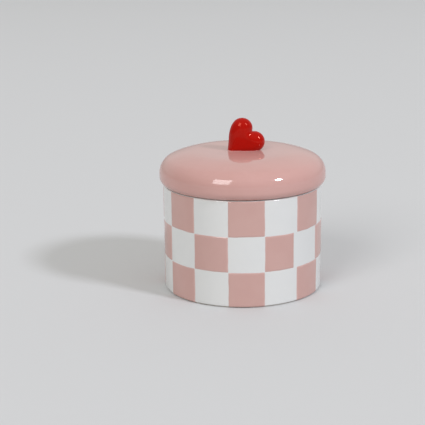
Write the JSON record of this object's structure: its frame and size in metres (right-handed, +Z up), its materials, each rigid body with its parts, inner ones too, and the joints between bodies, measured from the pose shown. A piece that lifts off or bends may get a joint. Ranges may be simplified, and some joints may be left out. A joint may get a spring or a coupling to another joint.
{
  "type": "trinket box",
  "caption": "Round ceramic trinket box with a painted check on its wall, a hollow overhanging lid with a soft seal ring, and a heart-shaped knob.",
  "frame": {"origin": "centre of the circle that the foot ring stands on", "axes": "+Z up along the axis of the jar and the lid, the heart faces -Y, +X to the right of it"},
  "size_m": [0.1, 0.1, 0.1034],
  "materials": {
    "white_glaze": "gloss",
    "pink_glaze": "gloss",
    "clear_silicone": "satin",
    "lid_glaze": "gloss",
    "red_glaze": "gloss",
    "slip_bead": "gloss"
  },
  "bodies": {
    "jar": {"jar_body": "white_glaze", "pink_squares": "pink_glaze"},
    "seal": {"seal_ring": "clear_silicone"},
    "lid": {"lid": "lid_glaze", "heart_knob": "red_glaze", "knob_bead": "slip_bead"}
  },
  "joints": [
    {"name": "lid_lift", "type": "slide", "parent": "jar", "child": "seal", "axis": [0, 0, 1], "range_m": [0, 0.12]},
    {"name": "lid_turn", "type": "hinge", "parent": "seal", "child": "lid", "pos_m": [0, 0, 0.0635], "axis": [0, 0, 1], "continuous": true}
  ]
}
